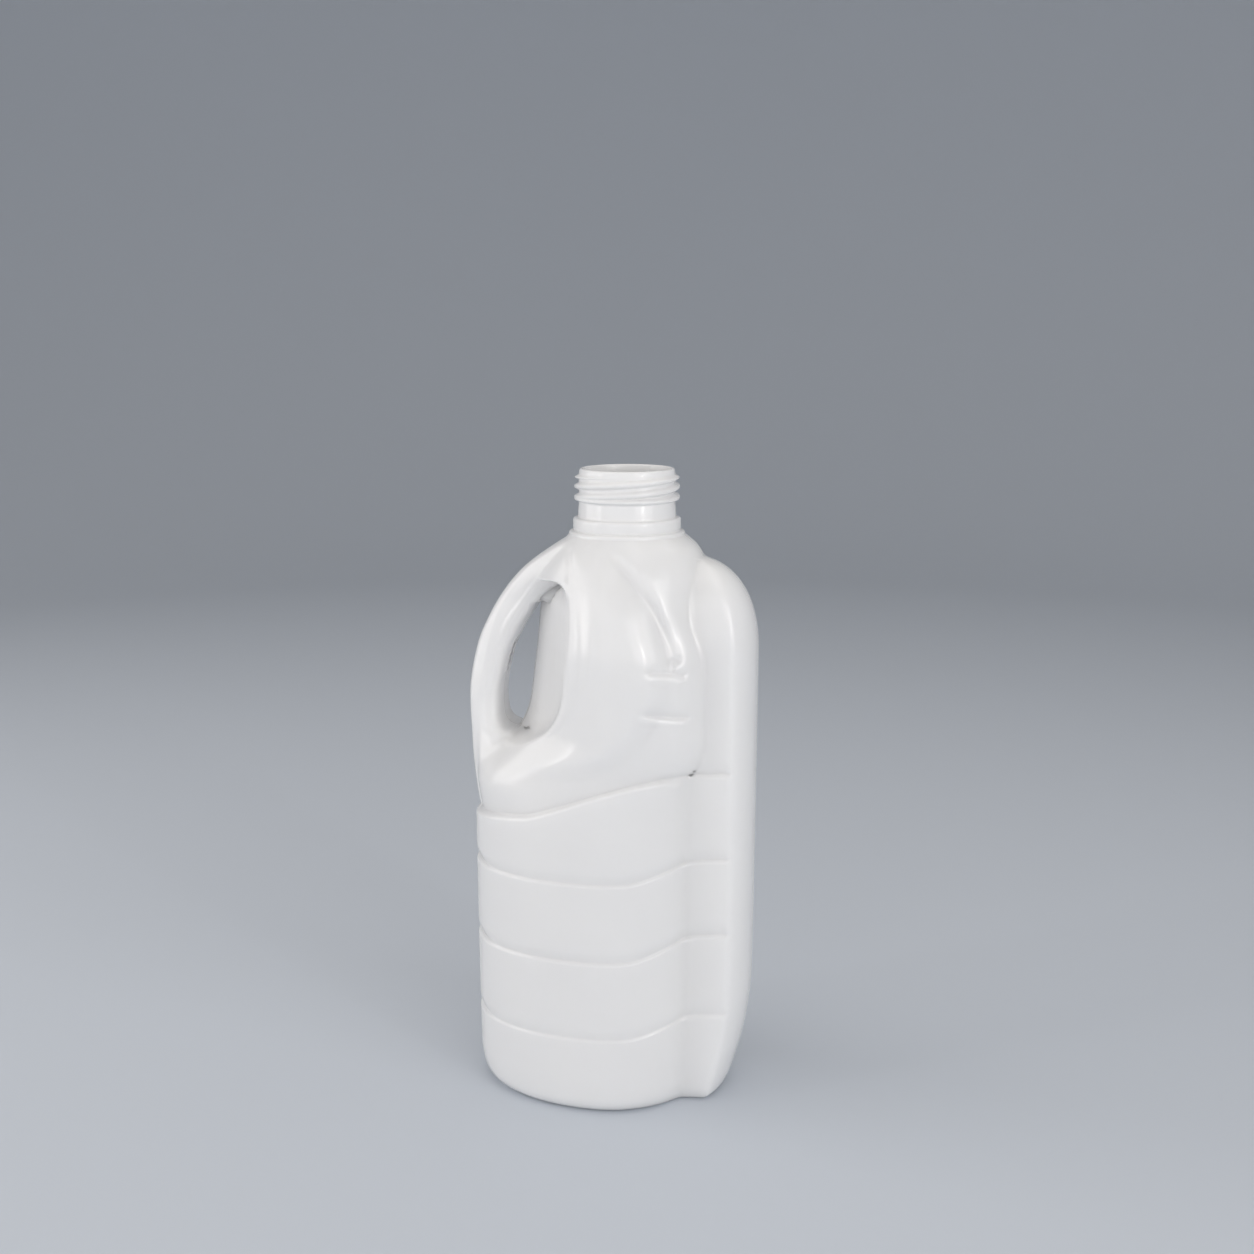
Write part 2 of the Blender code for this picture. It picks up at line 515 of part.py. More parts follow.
def build_jug(collection, material):
    points, loops, kinds = shell_surface()
    pairs = weld_pairs(loops, kinds)
    faces = [[pairs.get(v, v) for v in face] for face in skin_faces(loops, kinds)]
    normals = vertex_normals(points, faces)

    bore_from = max(i for i, kind in enumerate(kinds) if kind[0] == 'body')
    inner_loops = loops[:bore_from + 1]
    inside = points - normals * WALL
    inner_points = []
    inner_index = {}
    for loop in inner_loops:
        for vertex in loop:
            vertex = pairs.get(vertex, vertex)
            if vertex not in inner_index:
                inner_index[vertex] = len(points) + len(inner_points)
                inner_points.append(inside[vertex])
    body_vertices = set(v for loop in inner_loops for v in loop)
    inner_faces = [[inner_index[v] for v in reversed(face)] for face in faces
                   if all(v in inner_index for v in face) and all(v in body_vertices for v in face)]

    count = len(loops[0])
    angles = np.pi + 2.0 * np.pi * np.arange(count) / count
    top = [inner_index[v] for v in loops[bore_from]]
    for z in (BORE_BOTTOM_Z, HEIGHT):
        ring = []
        for angle in angles:
            ring.append(len(points) + len(inner_points))
            inner_points.append((NECK_X + BORE_RADIUS * np.cos(angle), BORE_RADIUS * np.sin(angle), z))
        for i in range(count):
            j = (i + 1) % count
            inner_faces.append([top[j], top[i], ring[i], ring[j]])
        top = ring
    rim = loops[-1]
    for i in range(count):
        j = (i + 1) % count
        inner_faces.append([rim[i], rim[j], top[j], top[i]])

    every_point = np.concatenate([points, np.array(inner_points)])
    every_point = (every_point - np.array([CENTRE_X, 0.0, 0.0])) * MILLIMETRE
    mesh = bpy.data.meshes.new('jug')
    used = sorted(set(v for face in faces + inner_faces for v in face))
    renumber = {v: i for i, v in enumerate(used)}
    mesh.from_pydata([tuple(every_point[v]) for v in used], [],
                     [[renumber[v] for v in face] for face in faces + inner_faces])
    mesh.shade_smooth()
    mesh.set_sharp_from_angle(angle=np.radians(SHARP_ANGLE))
    mesh.materials.append(material)
    jug = bpy.data.objects.new('jug', mesh)
    collection.objects.link(jug)


def plastic(name, colour):
    material = bpy.data.materials.new(name)
    material.use_nodes = True
    shader = material.node_tree.nodes['Principled BSDF']
    shader.inputs['Base Color'].default_value = colour
    shader.inputs['Roughness'].default_value = 0.35
    shader.inputs['Metallic'].default_value = 0.0
    return material


def main():
    for item in list(bpy.data.objects):
        bpy.data.objects.remove(item)
    collection = bpy.data.collections.new('detergent_jug')
    bpy.context.scene.collection.children.link(collection)
    build_jug(collection, plastic('milky_plastic', JUG_COLOUR))


main()
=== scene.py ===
import bpy
import numpy as np
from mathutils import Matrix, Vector


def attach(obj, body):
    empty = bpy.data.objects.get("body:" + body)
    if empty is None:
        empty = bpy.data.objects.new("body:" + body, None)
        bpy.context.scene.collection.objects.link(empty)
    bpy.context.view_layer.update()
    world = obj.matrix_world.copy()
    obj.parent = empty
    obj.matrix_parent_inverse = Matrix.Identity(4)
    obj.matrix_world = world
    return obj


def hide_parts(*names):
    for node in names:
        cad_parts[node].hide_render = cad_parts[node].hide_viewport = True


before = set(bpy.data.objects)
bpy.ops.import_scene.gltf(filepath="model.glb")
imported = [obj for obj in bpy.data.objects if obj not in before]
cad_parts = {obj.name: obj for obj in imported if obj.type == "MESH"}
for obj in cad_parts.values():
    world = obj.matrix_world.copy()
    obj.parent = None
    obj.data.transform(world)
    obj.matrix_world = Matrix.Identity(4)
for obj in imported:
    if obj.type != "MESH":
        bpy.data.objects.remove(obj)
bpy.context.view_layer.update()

metre = 0.001  # everything about the jug is worked out in millimetres
print('frame loaded')


# Curves that the jug's shape is read from

def follow(points, where):  # a smooth curve through the points, with no overshoot
    places, values = np.array(points, dtype=float).T
    where = np.asarray(where, dtype=float)
    widths = np.diff(places)
    slopes = np.diff(values) / widths
    tangents = np.zeros(len(places))
    products = slopes[:-1] * slopes[1:]
    sums = np.where(products > 0, slopes[:-1] + slopes[1:], 1)
    tangents[1:-1] = np.where(products > 0, 2 * products / sums, 0)
    tangents[0] = slopes[0]
    tangents[-1] = slopes[-1]
    index = np.clip(np.searchsorted(places, where) - 1, 0, len(widths) - 1)
    part = np.clip((where - places[index]) / widths[index], 0, 1)
    rise = values[index + 1] - values[index]
    start = tangents[index] * widths[index]
    end = tangents[index + 1] * widths[index]
    return (values[index] + part * start + part ** 2 * (3 * rise - 2 * start - end)
            + part ** 3 * (start + end - 2 * rise))


def ramp(value, start, end):
    part = np.clip((value - start) / (end - start), 0, 1)
    return part * part * (3 - 2 * part)


def softLarger(first, second, radius):
    overlap = np.maximum(radius - np.abs(first - second), 0)
    return np.maximum(first, second) + overlap ** 2 / (4 * radius)


def softSmaller(first, second, radius):
    return -softLarger(-first, -second, radius)


def signedPower(value, power):
    return np.sign(value) * np.abs(value) ** power


def flank(distance, width):
    return np.clip(1 - distance / width, 0, 1) ** 2


def lineDistance(points, x, z, samples=48):  # distance, side (+1 above) and share along a smooth line
    order = np.linspace(0, len(points) - 1, samples)
    lineX = follow([(i, point[0]) for i, point in enumerate(points)], order)
    lineZ = follow([(i, point[1]) for i, point in enumerate(points)], order)
    best = np.full(np.shape(x), 1e9)
    side = np.zeros(np.shape(x))
    along = np.zeros(np.shape(x))
    for i in range(samples - 1):
        stepX = lineX[i + 1] - lineX[i]
        stepZ = lineZ[i + 1] - lineZ[i]
        part = ((x - lineX[i]) * stepX + (z - lineZ[i]) * stepZ) / (stepX ** 2 + stepZ ** 2)
        part = np.clip(part, 0, 1)
        gapX = x - lineX[i] - part * stepX
        gapZ = z - lineZ[i] - part * stepZ
        distance = np.hypot(gapX, gapZ)
        nearer = distance < best
        best = np.where(nearer, distance, best)
        side = np.where(nearer, np.sign(stepX * gapZ - stepZ * gapX), side)
        along = np.where(nearer, (i + part) / (samples - 1), along)
    return best, side, along


# The body: a main lobe, an upright lobe at the plain end and a handle tube

body = {
    'depth': 46.6,
    'bottomCorner': 6.5,
    'left': [(0, -52.5), (3, -58), (8, -60.6), (16, -61.8), (60, -62.2), (130, -62.4), (142, -62),
             (150, -59.8), (157, -55), (163, -50), (170, -46), (180, -44), (206, -42), (224, -40),
             (232, -37), (240, -32), (250, -23.5), (256, -18.5)],
    'right': [(0, 43.5), (10, 46), (120, 46.3), (142, 46.6), (151, 47.6), (157, 52.4), (163, 54.2),
              (170, 55.1), (195, 54.8), (206, 52), (212.5, 49.8), (221, 46.9), (231, 45.4), (240, 44.2),
              (247, 41.8), (251.3, 39.2), (254, 36.2), (256, 33.5)],
    'middle': [(0, 0), (145, 0), (172, 7.5), (256, 7.5)],
    'fullness': [(0, 1), (205, 0.99), (220, 0.935), (232, 0.85), (242, 0.75), (250, 0.643), (256, 0.558)],
    'squareness': [(0, 2.2), (130, 2.3), (145, 2.2), (160, 1.8), (172, 1.6), (225, 1.6), (240, 1.8),
                   (250, 2), (256, 2)],
}
column = {
    'x': 36.0,
    'depth': 24.8,
    'taper': 0.16,
    'end': [(0, 50.8), (1, 53), (3, 55.2), (15.6, 59.6), (27.9, 62.7), (39.9, 64.6), (52, 65.7), (87, 66.2),
            (132, 66.5), (198, 66.8)],
    'endBulge': 30.0,
    'shoulderZ': 205.0,
    'shoulderRise': 42.0,
    'squareness': 2.2,
}
handle = {
    'outerWidth': [(120, 6), (135, 6.6), (150, 7.2), (158, 7.6), (165, 7.8), (172, 8.1), (256, 8.1)],
    'innerWidth': [(120, 8.1), (140, 9), (150, 12), (158, 17), (163, 17), (165.5, 13.1), (166.2, 11.1),
                   (167.2, 9.6), (168.5, 8.5), (170, 7.9), (172, 7.4), (178, 7.2), (196, 7.6), (215, 7.8),
                   (226, 8.6), (234, 9.4), (256, 9.4)],
    'depth': [(120, 8), (130, 15), (140, 20.5), (150, 21.5), (160, 17), (170, 13.4), (181, 11.4), (200, 10.8),
              (224, 10.9), (232, 12.4), (240, 17), (246, 22), (252, 24)],
    'outerDepth': [(120, 8), (130, 12), (150, 13.5), (165, 12), (181, 11.4), (200, 10.8), (224, 10.9),
                   (232, 12), (240, 14.5), (246, 17.5), (252, 21)],
    'section': [(-1, 0), (-0.97, 0.27), (-0.9, 0.47), (-0.78, 0.66), (-0.7, 0.74), (-0.4, 0.86), (0, 0.95),
                (0.3, 1), (0.6, 0.985), (0.8, 0.93), (0.9, 0.83), (0.96, 0.66), (0.99, 0.4), (1, 0)],
    'rootSection': [(-1, 0), (-0.97, 0.27), (-0.9, 0.47), (-0.78, 0.66), (-0.7, 0.74), (-0.4, 0.86),
                    (0, 0.95), (0.5, 1), (0.75, 0.98), (0.87, 0.88), (0.95, 0.64), (0.985, 0.38), (1, 0)],
    'startZ': 125.0,
    'line': [(-54, 120), (-56, 135), (-57.1, 150), (-57.7, 165), (-58, 181), (-54.4, 201.6), (-49.9, 212.2),
             (-43.6, 223), (-34.8, 233.5), (-20.6, 244.1), (-8, 251.6)],
    'ridge': [(-22, 243), (-25.2, 240.4), (-30.3, 235.5), (-34.3, 230.7), (-41.7, 220.3), (-45.5, 214.2),
              (-48.1, 207.1), (-50.2, 200), (-51.8, 193), (-52.3, 189.2), (-52.6, 180)],
    'ridgeHeight': 0.5,
    'outerRidge': [(-28, 246), (-34.5, 241.8), (-41.8, 233.3), (-49.3, 222), (-54, 209), (-56.4, 197.4),
                   (-58.9, 183.4), (-59.6, 170)],
    'outerRidgeHeight': 0.25,
}
fingerHole = {
    'bottom': 165.5,
    'top': 224.0,
    'leftEdge': [(150, -45), (165.5, -44.6), (166.2, -46.6), (167.2, -48.1), (168.5, -49.3), (170, -50),
                 (172, -50.5), (178, -50.8), (181.6, -50.8), (196, -47.8), (205.4, -44.6), (212.5, -41),
                 (219.6, -36.8), (224, -34.6), (240, -26), (256, -15)],
    'rightEdge': [(150, -43.3), (165.5, -43.2), (170, -41), (175, -39), (182, -37.5), (194, -35.9),
                  (206, -34.4), (219, -33.1), (224, -32.4), (230, -27.8), (235, -21), (240, -20), (256, -11)],
    'rimEdge': [(150, -14), (165, -10.6), (197, -10.2), (206, -9.1), (214, -8.6), (224, -9.2), (229, -10.2),
                (234, -12.3), (240, -13), (256, -13)],
    'floor': [(-60, 165), (-46, 165.5), (-40.6, 165.7), (-33, 167), (-27.6, 168.8), (-21, 172.5),
              (-15.6, 178.5), (-12.2, 186), (-10.2, 195)],
    'ceiling': [(-60, 228.5), (-30, 229.3), (-24, 231.8), (-20, 233.8), (-16.5, 234.8), (-13.5, 234.3),
                (-11.5, 232.5), (-10, 229.5), (-9, 224.5)],
    'floorSlope': 5.0,
    'floorRounding': 1.8,
    'floorRoundingRise': (-38, -30),
    'ceilingSlope': 7.0,
    'topDepth': 5.0,
    'topZ': 243.0,
    'rimLine': [(-46, 164.4), (-40.6, 164.5), (-33, 165.6), (-27, 167.4), (-20.2, 171.2), (-14.5, 177.3),
                (-11, 185.3), (-8.9, 195), (-7.6, 206), (-7, 214.5), (-7.9, 229), (-9.5, 234), (-13, 237.6),
                (-18, 238.5)],
    'rimHeight': 0.4,
    'outerLine': [(-19.7, 168.7), (-13.4, 173), (-8.1, 179.8), (-4.1, 189.2), (-2.1, 198.2), (-0.8, 211.3),
                  (-1.1, 223.7), (-3.6, 235.7)],
    'outerHeight': 0.3,
}
grooves = {
    'one': [(-66, 128), (-55, 130.5), (-44, 132.8), (-28, 135.5), (-14, 140.5), (5, 147.6), (22, 152),
            (39, 153.5), (66, 154)],
    'two': [(-66, 107), (15, 107.3), (47, 114.5), (66, 115)],
    'three': [(-66, 71), (15, 71.3), (47, 79.5), (66, 80)],
    'four': [(-66, 35), (15, 35.3), (47, 41.6), (66, 42)],
    'upperFlank': 7.5,
    'lowerFlank': 2.0,
    'frontShare': 0.55,
    'end': (56, 60),
}
grooveList = [(grooves['four'], 35, 1.7), (grooves['three'], 71, 2.2), (grooves['two'], 107, 2.2),
              (grooves['one'], 143, 2.6)]
hollows = {
    'tuckHeight': 22.0,
    'tuckDepth': 3.2,
    'columnSide': (27, 42),
    'columnSideFlank': 3.5,
    'columnSideLoss': 0.45,
    'border': [(-60, 152), (-46, 154.5), (-34, 158.5), (-11, 162), (4, 166), (15.6, 176), (21.5, 185),
               (24.4, 191), (24.8, 199.5), (24.8, 206)],
    'borderWidth': 11.0,
    'gripTop': (198, 211),
    'valley': [(-8, 252), (3, 250.5), (9, 246.5), (15, 241), (20.5, 234.5), (26, 227.5), (30, 220), (33, 213),
               (35, 206)],
    'valleyDepth': 3.2,
    'valleyUpper': 14.0,
    'valleyLower': 6.5,
    'valleyCrest': [(22, 238), (27.7, 232.4), (31, 224.2), (33.5, 215.5), (35.2, 209), (36.5, 206)],
    'crestHeight': 0.8,
    'ribs': ([(25, 202), (27.6, 201.5), (30.7, 201.1), (34.5, 200.4), (38.2, 199.5), (41.2, 198.2)],
             [(22, 184.6), (26.8, 182.9), (30.5, 182.2), (34.5, 181.5), (38.4, 180.9), (42.8, 180.4)]),
    'ribDepth': 1.3,
    'ribCrest': 0.5,
    'star': [(34.5, 147), (35.8, 148.7), (38.2, 151.2), (39.8, 153.5)],
    'starHeight': 0.5,
    'crease': [(41.6, 241), (40.8, 231.6), (41.4, 221.2), (42.7, 216.9), (44, 212.5), (45.1, 205.8),
               (45.6, 198.8), (46.2, 178.8), (46, 170), (45.1, 163.2)],
    'creaseHeight': 0.6,
    'dimple': [(-13.4, 249.6), (-12.4, 246), (-11.6, 241), (-11.5, 236)],
    'dimpleDepth': 0.9,
}


def grooveRelief(x, z):
    pressed = np.zeros(np.shape(x))
    for line, nominal, depth in grooveList:
        above = z - follow(line, x)
        groove = np.where(above > 0, flank(above, grooves['upperFlank']),
                          flank(-above, grooves['lowerFlank']))
        pressed = np.maximum(pressed, depth * groove)
    front = grooves['frontShare'] + (1 - grooves['frontShare']) * ramp(-x, 44, 60)
    return pressed * front * (1 - ramp(x, *grooves['end']))


def gripRelief(x, z):
    above = z - follow(grooves['one'], x)
    nearColumn = ramp(x, *hollows['columnSide'])
    lower = flank(-above, grooves['lowerFlank'] + hollows['columnSideFlank'] * nearColumn)
    plainTuck = np.clip(1 - above / hollows['tuckHeight'], 0, 1) ** 1.5
    distance, side, along = lineDistance(hollows['border'], x, z, 40)
    swoosh = ramp(-side * distance, -1.0, hollows['borderWidth'])
    swoosh = swoosh * (0.8 + 0.2 * flank(np.maximum(above, 0), 4))
    share = ramp(x, -46, -26)
    tuck = np.where(above > 0, plainTuck * (1 - share) + swoosh * share, lower)
    pressed = hollows['tuckDepth'] * (1 - hollows['columnSideLoss'] * nearColumn) * tuck
    pressed = pressed * (1 - ramp(z, *hollows['gripTop']))
    distance, side, along = lineDistance(hollows['valley'], x, z, 40)
    distance = np.hypot(distance, 1.6) - 1.6
    valley = np.where(side > 0, flank(distance, hollows['valleyLower']),
                      flank(distance, hollows['valleyUpper']))
    return softLarger(pressed, hollows['valleyDepth'] * valley * ramp(along, 0, 0.45), 0.8)


def ridgeAlong(line, x, z, width, fadeIn=0.1, fadeOut=0.1, samples=24):  # a rounded line, one at its crest
    distance, side, along = lineDistance(line, x, z, samples)
    rounded = np.clip(1 - (distance / width) ** 2, 0, 1) ** 2
    return rounded * ramp(along, 0, fadeIn) * ramp(1 - along, 0, fadeOut)


def fineRelief(x, z):  # short grooves, thin raised lines and the rim of the finger pocket
    pressed = np.zeros(np.shape(x))
    for line in hollows['ribs']:
        distance, side, along = lineDistance(line, x, z, 20)
        above = side * distance
        rib = hollows['ribDepth'] * np.where(above > 0, flank(above, 5), flank(-above, 1.2))
        rib = rib - hollows['ribCrest'] * np.clip(1 - ((above + 2.6) / 2.2) ** 2, 0, 1) ** 2
        pressed = pressed + rib * ramp(along, 0, 0.2) * ramp(1 - along, 0, 0.12)
    pressed = pressed - fingerHole['rimHeight'] * ridgeAlong(fingerHole['rimLine'], x, z, 1.7, 0.08, 0.08, 40)
    pressed = pressed - hollows['crestHeight'] * ridgeAlong(hollows['valleyCrest'], x, z, 3.4, 0.4, 0.15)
    pressed = pressed - hollows['starHeight'] * ridgeAlong(hollows['star'], x, z, 2.6, 0.3, 0.2)
    distance = lineDistance(hollows['dimple'], x, z, 16)[0]
    pressed = pressed + hollows['dimpleDepth'] * flank(distance, 3.2)
    distance, side, along = lineDistance(fingerHole['outerLine'], x, z, 30)
    step = ramp(side * distance, -1.2, 1.2) * flank(np.maximum(side * distance, 0), 9)
    return pressed + fingerHole['outerHeight'] * step * ramp(along, 0, 0.12) * ramp(1 - along, 0, 0.12)


def raggedness(z):  # the torn edge that the mould leaves on the web in the finger hole
    inside = ramp(z, 168, 174) * (1 - ramp(z, 215, 222))
    return inside * (0.34 * np.sin(0.9 * z) + 0.24 * np.sin(2.3 * z + 1) + 0.1 * np.sin(4.7 * z + 2))


def mainDepth(x, z, corner, pressed):
    depth = body['depth'] * follow(body['fullness'], z) - corner - pressed
    middle = follow(body['middle'], z)
    left = middle - follow(body['left'], z) - pressed
    right = follow(body['right'], z) - middle - pressed
    across = np.where(x < middle, (middle - x) / left, (x - middle) / right)
    power = np.where(x < middle, follow(body['squareness'], z), 2)
    return signedPower(1 - np.abs(across) ** power, 1 / power) * depth


def halfDepthSquared(x, z):  # below zero outside the jug's outline
    pressedAll = grooveRelief(x, z)
    dip = np.maximum(body['bottomCorner'] - z, 0)
    corner = body['bottomCorner'] - np.sqrt(np.maximum(body['bottomCorner'] ** 2 - dip ** 2, 0))
    main = mainDepth(x, z, corner, np.maximum(pressedAll, gripRelief(x, z)))
    fine = fineRelief(x, z)
    main = main - fine * ramp(main, 4, 12)

    hole = follow(fingerHole['rightEdge'], z)
    rim = follow(fingerHole['rimEdge'], z)
    rimDepth = mainDepth(rim, z, 0, 0)
    ragged = raggedness(z) * flank(np.maximum(x - hole, 0), 2.5)
    funnel = (x - hole - ragged) / (rim - hole) * rimDepth
    below = follow(fingerHole['floor'], x) - z
    soft = fingerHole['floorRounding'] * ramp(x, *fingerHole['floorRoundingRise'])
    funnel = funnel + fingerHole['floorSlope'] * 0.5 * (below + np.hypot(below, soft))
    funnel = funnel + fingerHole['ceilingSlope'] * np.maximum(z - follow(fingerHole['ceiling'], x), 0)
    least = fingerHole['topDepth'] * ramp(z, fingerHole['top'] + 0.5, fingerHole['top'] + 2.5) - 1
    funnel = np.where(z > fingerHole['top'], softLarger(funnel, least, 1), funnel)
    inPocket = (x < rim + 6) & (z < fingerHole['topZ'])
    main = np.where(inPocket, softSmaller(main, funnel, 1.2), main)

    rise = np.maximum(z - column['shoulderZ'], 0) / column['shoulderRise']
    out = np.maximum(x - column['x'], 0) / (follow(column['end'], z) - column['x'] - 0.4 * pressedAll)
    power = column['squareness']
    dome = signedPower(1 - rise ** power, 1 / power)
    endFace = signedPower(1 - out ** power - rise ** power, 1 / power) * column['endBulge']
    facet = (column['depth'] - column['taper'] * (x - column['x'])) * dome - pressedAll
    side = softSmaller(endFace, facet - 0.6 * corner, 1.5)
    side = np.where(x > column['x'] - 12, side, -20)

    distance, lineSide, along = lineDistance(handle['line'], x, z, 60)
    width = np.where(lineSide < 0, follow(handle['innerWidth'], z), follow(handle['outerWidth'], z))
    off = -lineSide * distance / width
    beyond = np.maximum(np.abs(off) - 1, 0) ** 0.5
    crisp = 1 - ramp(z, 161, 169) * (1 - ramp(z, 218, 230))
    section = follow(handle['section'], np.clip(off, -1, 1))
    section = section + crisp * (follow(handle['rootSection'], np.clip(off, -1, 1)) - section)
    tube = np.where(np.abs(off) < 1, section, -beyond)
    outerDepth = follow(handle['outerDepth'], z)
    tubeDepth = outerDepth + (follow(handle['depth'], z) - outerDepth) * ramp(off, -0.7, 0.5)
    raised = handle['ridgeHeight'] * ridgeAlong(handle['ridge'], x, z, 1.8, 0.1, 0.35)
    raised = raised + handle['outerRidgeHeight'] * ridgeAlong(handle['outerRidge'], x, z, 1.3, 0.15, 0.3)
    tube = np.where(z > handle['startZ'], tube * tubeDepth + raised * np.sqrt(np.clip(tube, 0, 1)), -20)
    blend = 1.6 + 1.4 * (1 - ramp(z, 140, 160))
    distance, lineSide, along = lineDistance(hollows['crease'], x, z, 24)
    ridge = hollows['creaseHeight'] * flank(distance, 2.0) * ramp(along, 0, 0.1) * ramp(1 - along, 0, 0.1)
    side = softLarger(main, side, blend) + np.where(x > 36, ridge, 0)
    depth = softLarger(side, tube, 2 + 5 * ramp(z, 136, 152) * (1 - ramp(z, 160, 178)))
    return np.sign(depth) * depth ** 2


# Rows of points round the jug; the rows beside a groove follow it

featureLines = {
    'holeLeft': fingerHole['leftEdge'],
    'holeRight': fingerHole['rightEdge'],
    'rim': [(0, -20), (150, -16), (165.5, -10.8), (197, -10.2), (214, -8.6), (224, -9.2), (234, -12),
            (240, -12), (256, -5)],
    'gripEdge': [(0, 5), (100, 8), (150, 12), (170, 15), (185, 20), (199, 23), (208, 24), (213, 23),
                 (220, 20), (227, 16), (234, 11), (240, 5.5), (246, 0.5), (256, -1)],
    'valley': [(0, 24), (150, 28), (190, 33), (206, 35), (213, 33), (220, 30), (227.5, 26), (234.5, 20.5),
               (241, 15), (246.5, 11), (256, 8)],
    'facetStart': [(0, 33), (30, 34.3), (138, 35), (157, 38), (206, 39), (221, 37), (235, 36.5),
                   (247, 33), (256, 27)],
    'crease': [(0, 37.6), (60, 38.6), (138, 39.4), (150, 40), (157, 43), (163, 44.6), (178, 45.7),
               (199, 45.1), (206, 44.6), (212.5, 43.5), (217, 42.2), (221, 40.9), (231, 40.4), (240, 40),
               (247, 37), (256, 30)],
    'edge': [(0, 47.5), (8, 51), (19, 53.8), (40, 55.5), (78, 56.5), (120, 57.5), (157, 58.5),
             (222, 57.5), (240, 48), (248, 41.5), (256, 32)],
}
rows = {
    'start': 14.0,
    'join': 165.5,
    'full': 285.0,
    'grooveMarks': (-2.8, 0, 2.8, 7),
    'tubeFrom': (158, 168),
    'tubeTo': (222, 228),
    'roundingRise': (238, 253),
    'searchReach': 70,
    'searchPlaces': 561,
    'searchTurns': 26,
    'fineCounts': (34, 8, 24, 14, 10, 6, 8, 10, 14),
    'coarseCounts': (6, 2, 3, 3, 2, 1, 2, 3, 4),
    'spacing': [(0, 0.5), (5, 0.7), (9, 1.5), (28, 1.5), (31, 0.6), (38, 0.6), (42, 1.5), (64, 1.5),
                (67, 0.6), (74, 0.6), (78, 1.5), (100, 1.5), (103, 0.55), (110, 0.6), (114, 1.5),
                (136, 1.5), (139, 0.55), (147, 0.7), (152, 1.1), (160, 0.9), (164, 0.45), (173, 0.45),
                (178, 0.8), (181, 0.5), (184, 0.6), (188, 1.3), (198, 1.2), (201, 0.5), (204, 0.6),
                (208, 1.2), (220, 1.0), (224, 0.6), (238, 0.7), (243, 1.0), (252, 0.8), (256, 0.6)],
}


def levelList(scale):
    levels = [0.0]
    stops = sorted([fingerHole['bottom'], fingerHole['top'], 256.0])
    for stop in stops:
        first = len(levels)
        start = levels[-1]
        while levels[-1] < stop:
            levels.append(levels[-1] + scale * float(np.interp(levels[-1], *np.array(rows['spacing']).T)))
        stretch = (stop - start) / (levels[-1] - start)
        levels[first:] = [start + (level - start) * stretch for level in levels[first:]]
        levels[-1] = stop
    return np.array(levels)


def levelHeight(level, x):
    level = level + np.zeros(np.shape(x))
    marks = [0, rows['start']]
    places = [np.zeros(np.shape(x)), np.full(np.shape(x), rows['start'])]
    for line, nominal, depth in grooveList:
        height = follow(line, x)
        for offset in rows['grooveMarks']:
            marks.append(nominal + offset)
            places.append(height + offset)
    marks += [rows['join'], rows['full']]
    places += [np.full(np.shape(x), rows['join']), np.full(np.shape(x), rows['full'])]
    height = np.zeros(np.shape(x))
    for i in range(len(marks) - 1):
        part = (level - marks[i]) / (marks[i + 1] - marks[i])
        here = (level >= marks[i]) & (level <= marks[i + 1])
        height = np.where(here, places[i] * (1 - part) + places[i + 1] * part, height)
    return height


def columnPlaces(levels, left, right, counts):
    stops = [left] + [follow(line, levels) for line in featureLines.values()] + [right]
    places = [left]
    for i, count in enumerate(counts):
        steps = (np.arange(1, count + 1) / count)[None, :] + np.zeros((len(levels), 1))
        if i == 0:
            tube = (ramp(levels, *rows['tubeFrom']) * (1 - ramp(levels, *rows['tubeTo'])))[:, None]
            inner = 0.5 - 0.5 * np.cos(np.pi * steps)
            steps = inner * tube + (1 - np.cos(0.5 * np.pi * steps)) * (1 - tube)
        elif i == len(counts) - 1:
            steps = np.sin(0.5 * np.pi * steps)
        here = stops[i][:, None] + (stops[i + 1] - stops[i])[:, None] * steps
        places += [here[:, j] for j in range(count)]
    places = np.array(places).T
    angles = np.linspace(np.pi, 0, places.shape[1])[None, :]
    rounded = 0.5 * (left + right)[:, None] + 0.5 * (right - left)[:, None] * np.cos(angles)
    share = ramp(levels, *rows['roundingRise'])[:, None]
    return places * (1 - share) + rounded * share


def bodyRows(levels, counts):  # full rows of points, from the handle's outer side right round
    levels = np.array(levels)
    reach = rows['searchReach']
    search = np.linspace(-reach, reach, rows['searchPlaces'])[None, :] + np.zeros((len(levels), 1))
    inside = halfDepthSquared(search, levelHeight(levels[:, None], search)) > 0
    first = inside.argmax(axis=1)
    last = search.shape[1] - 1 - inside[:, ::-1].argmax(axis=1)
    ends = []
    for index, step in ((first, -1), (last, 1)):
        near = search[0, index]
        far = search[0, index + step]
        for turn in range(rows['searchTurns']):
            middle = 0.5 * (near + far)
            height = levelHeight(levels[:, None], middle[:, None])
            within = halfDepthSquared(middle[:, None], height)[:, 0] > 0
            near = np.where(within, middle, near)
            far = np.where(within, far, middle)
        ends.append(0.5 * (near + far))
    x = columnPlaces(levels, ends[0], ends[1], counts)
    z = levelHeight(levels[:, None], x)
    y = np.sqrt(np.maximum(halfDepthSquared(x, z), 0))
    y[:, 0] = 0
    y[:, -1] = 0
    openRows = (levels >= fingerHole['bottom']) & (levels <= fingerHole['top'])
    y[np.ix_(openRows, range(counts[0], counts[0] + counts[1] + 1))] = 0
    return (np.concatenate([x, x[:, -2:0:-1]], axis=1), np.concatenate([-y, y[:, -2:0:-1]], axis=1),
            np.concatenate([z, z[:, -2:0:-1]], axis=1))


# The neck, turned round its own axis

